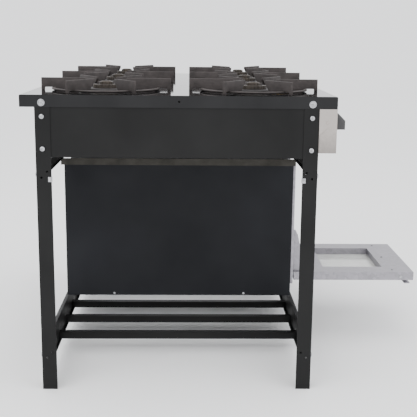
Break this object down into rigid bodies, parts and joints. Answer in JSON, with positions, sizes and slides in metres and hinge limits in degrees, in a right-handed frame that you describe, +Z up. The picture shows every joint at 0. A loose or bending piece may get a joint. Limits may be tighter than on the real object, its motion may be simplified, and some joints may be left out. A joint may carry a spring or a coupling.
{
  "type": "gas burner stand with oven",
  "caption": "Free-standing gas burner table with cast grates over stacked ring burners, knobs on a front panel, a pot shelf, and an oven with a drop-down window door.",
  "frame": {"origin": "on the floor, under the middle of the bounding box with the oven door open", "axes": "+X along the width to the gas inlet end, -Y to the front with knobs and door, +Z up"},
  "size_m": [1.1344, 1.1, 0.798],
  "materials": {
    "black_paint": "black enamel paint",
    "grey_paint": "grey paint",
    "cast_iron": "sand-cast, oiled",
    "steel_tube": "drawn tube",
    "valve_brass": "turned",
    "knob_plastic": "moulded phenolic",
    "panel_steel": "light grey coat",
    "zinc_plate": "bright zinc",
    "galvanised": "galvanised sheet",
    "oven_glass": "clear toughened",
    "liner_steel": "aluminised, dull",
    "rack_chrome": "plated wire"
  },
  "bodies": {
    "stand": {"burner_bars": "black_paint", "burner_front_left": "cast_iron", "burner_front_middle": "cast_iron", "burner_front_right": "cast_iron", "burner_rear_left": "cast_iron", "burner_rear_middle": "cast_iron", "burner_rear_right": "cast_iron", "control_panel": "panel_steel", "frame_bolts": "zinc_plate", "gas_manifold": "steel_tube", "gas_valves": "valve_brass", "hinge_pins": "zinc_plate", "leg_front_left": "black_paint", "leg_front_right": "black_paint", "leg_rear_left": "black_paint", "leg_rear_right": "black_paint", "mid_rail_front": "black_paint", "mid_rail_rear": "black_paint", "oven_bearers": "grey_paint", "oven_burner": "steel_tube", "oven_feed_pipe": "steel_tube", "oven_front_frame": "galvanised", "oven_liner": "liner_steel", "oven_rack": "rack_chrome", "oven_shell": "black_paint", "panel_ends": "panel_steel", "rear_apron": "black_paint", "shelf_bars": "black_paint", "shelf_rail_front": "black_paint", "shelf_rail_rear": "black_paint", "side_apron_left": "black_paint", "side_apron_right": "black_paint", "table_top_left": "black_paint", "table_top_middle": "black_paint", "table_top_right": "black_paint"},
    "oven_door": {"door_outer_panel": "galvanised", "door_inner_panel": "galvanised", "door_glass": "oven_glass", "door_handle": "galvanised", "door_arms": "galvanised", "door_screws": "zinc_plate"},
    "knob_front_left_body": {"knob_front_left": "knob_plastic"},
    "knob_front_middle_body": {"knob_front_middle": "knob_plastic"},
    "knob_front_right_body": {"knob_front_right": "knob_plastic"},
    "knob_oven_body": {"knob_oven": "knob_plastic"},
    "knob_rear_left_body": {"knob_rear_left": "knob_plastic"},
    "knob_rear_middle_body": {"knob_rear_middle": "knob_plastic"},
    "knob_rear_right_body": {"knob_rear_right": "knob_plastic"},
    "grate_front_left_body": {"grate_front_left": "cast_iron"},
    "grate_front_middle_body": {"grate_front_middle": "cast_iron"},
    "grate_front_right_body": {"grate_front_right": "cast_iron"},
    "grate_rear_left_body": {"grate_rear_left": "cast_iron"},
    "grate_rear_middle_body": {"grate_rear_middle": "cast_iron"},
    "grate_rear_right_body": {"grate_rear_right": "cast_iron"},
    "burner_crown_front_left_body": {"burner_crown_front_left": "cast_iron"},
    "burner_crown_front_middle_body": {"burner_crown_front_middle": "cast_iron"},
    "burner_crown_front_right_body": {"burner_crown_front_right": "cast_iron"},
    "burner_crown_rear_left_body": {"burner_crown_rear_left": "cast_iron"},
    "burner_crown_rear_middle_body": {"burner_crown_rear_middle": "cast_iron"},
    "burner_crown_rear_right_body": {"burner_crown_rear_right": "cast_iron"}
  },
  "joints": [
    {"name": "oven_door_hinge", "type": "hinge", "parent": "stand", "child": "oven_door", "pos_m": [0, -0.191, 0.2025], "axis": [-1, 0, 0], "range_deg": [0, 90]},
    {"name": "knob_front_left_turn", "type": "hinge", "parent": "stand", "child": "knob_front_left_body", "pos_m": [-0.28125, -0.242, 0.696], "axis": [0, -1, 0], "range_deg": [0, 210]},
    {"name": "knob_front_middle_turn", "type": "hinge", "parent": "stand", "child": "knob_front_middle_body", "pos_m": [0.09375, -0.242, 0.696], "axis": [0, -1, 0], "range_deg": [0, 210]},
    {"name": "knob_front_right_turn", "type": "hinge", "parent": "stand", "child": "knob_front_right_body", "pos_m": [0.46875, -0.242, 0.696], "axis": [0, -1, 0], "range_deg": [0, 210]},
    {"name": "knob_oven_turn", "type": "hinge", "parent": "stand", "child": "knob_oven_body", "pos_m": [0.189, -0.242, 0.696], "axis": [0, -1, 0], "range_deg": [0, 210]},
    {"name": "knob_rear_left_turn", "type": "hinge", "parent": "stand", "child": "knob_rear_left_body", "pos_m": [-0.46875, -0.242, 0.696], "axis": [0, -1, 0], "range_deg": [0, 210]},
    {"name": "knob_rear_middle_turn", "type": "hinge", "parent": "stand", "child": "knob_rear_middle_body", "pos_m": [-0.09375, -0.242, 0.696], "axis": [0, -1, 0], "range_deg": [0, 210]},
    {"name": "knob_rear_right_turn", "type": "hinge", "parent": "stand", "child": "knob_rear_right_body", "pos_m": [0.28125, -0.242, 0.696], "axis": [0, -1, 0], "range_deg": [0, 210]},
    {"name": "grate_front_left_lift", "type": "slide", "parent": "stand", "child": "grate_front_left_body", "axis": [0, 0, 1], "range_m": [0, 0.12]},
    {"name": "grate_front_middle_lift", "type": "slide", "parent": "stand", "child": "grate_front_middle_body", "axis": [0, 0, 1], "range_m": [0, 0.12]},
    {"name": "grate_front_right_lift", "type": "slide", "parent": "stand", "child": "grate_front_right_body", "axis": [0, 0, 1], "range_m": [0, 0.12]},
    {"name": "grate_rear_left_lift", "type": "slide", "parent": "stand", "child": "grate_rear_left_body", "axis": [0, 0, 1], "range_m": [0, 0.12]},
    {"name": "grate_rear_middle_lift", "type": "slide", "parent": "stand", "child": "grate_rear_middle_body", "axis": [0, 0, 1], "range_m": [0, 0.12]},
    {"name": "grate_rear_right_lift", "type": "slide", "parent": "stand", "child": "grate_rear_right_body", "axis": [0, 0, 1], "range_m": [0, 0.12]},
    {"name": "burner_crown_front_left_lift", "type": "slide", "parent": "stand", "child": "burner_crown_front_left_body", "axis": [0, 0, 1], "range_m": [0, 0.06]},
    {"name": "burner_crown_front_middle_lift", "type": "slide", "parent": "stand", "child": "burner_crown_front_middle_body", "axis": [0, 0, 1], "range_m": [0, 0.06]},
    {"name": "burner_crown_front_right_lift", "type": "slide", "parent": "stand", "child": "burner_crown_front_right_body", "axis": [0, 0, 1], "range_m": [0, 0.06]},
    {"name": "burner_crown_rear_left_lift", "type": "slide", "parent": "stand", "child": "burner_crown_rear_left_body", "axis": [0, 0, 1], "range_m": [0, 0.06]},
    {"name": "burner_crown_rear_middle_lift", "type": "slide", "parent": "stand", "child": "burner_crown_rear_middle_body", "axis": [0, 0, 1], "range_m": [0, 0.06]},
    {"name": "burner_crown_rear_right_lift", "type": "slide", "parent": "stand", "child": "burner_crown_rear_right_body", "axis": [0, 0, 1], "range_m": [0, 0.06]}
  ]
}
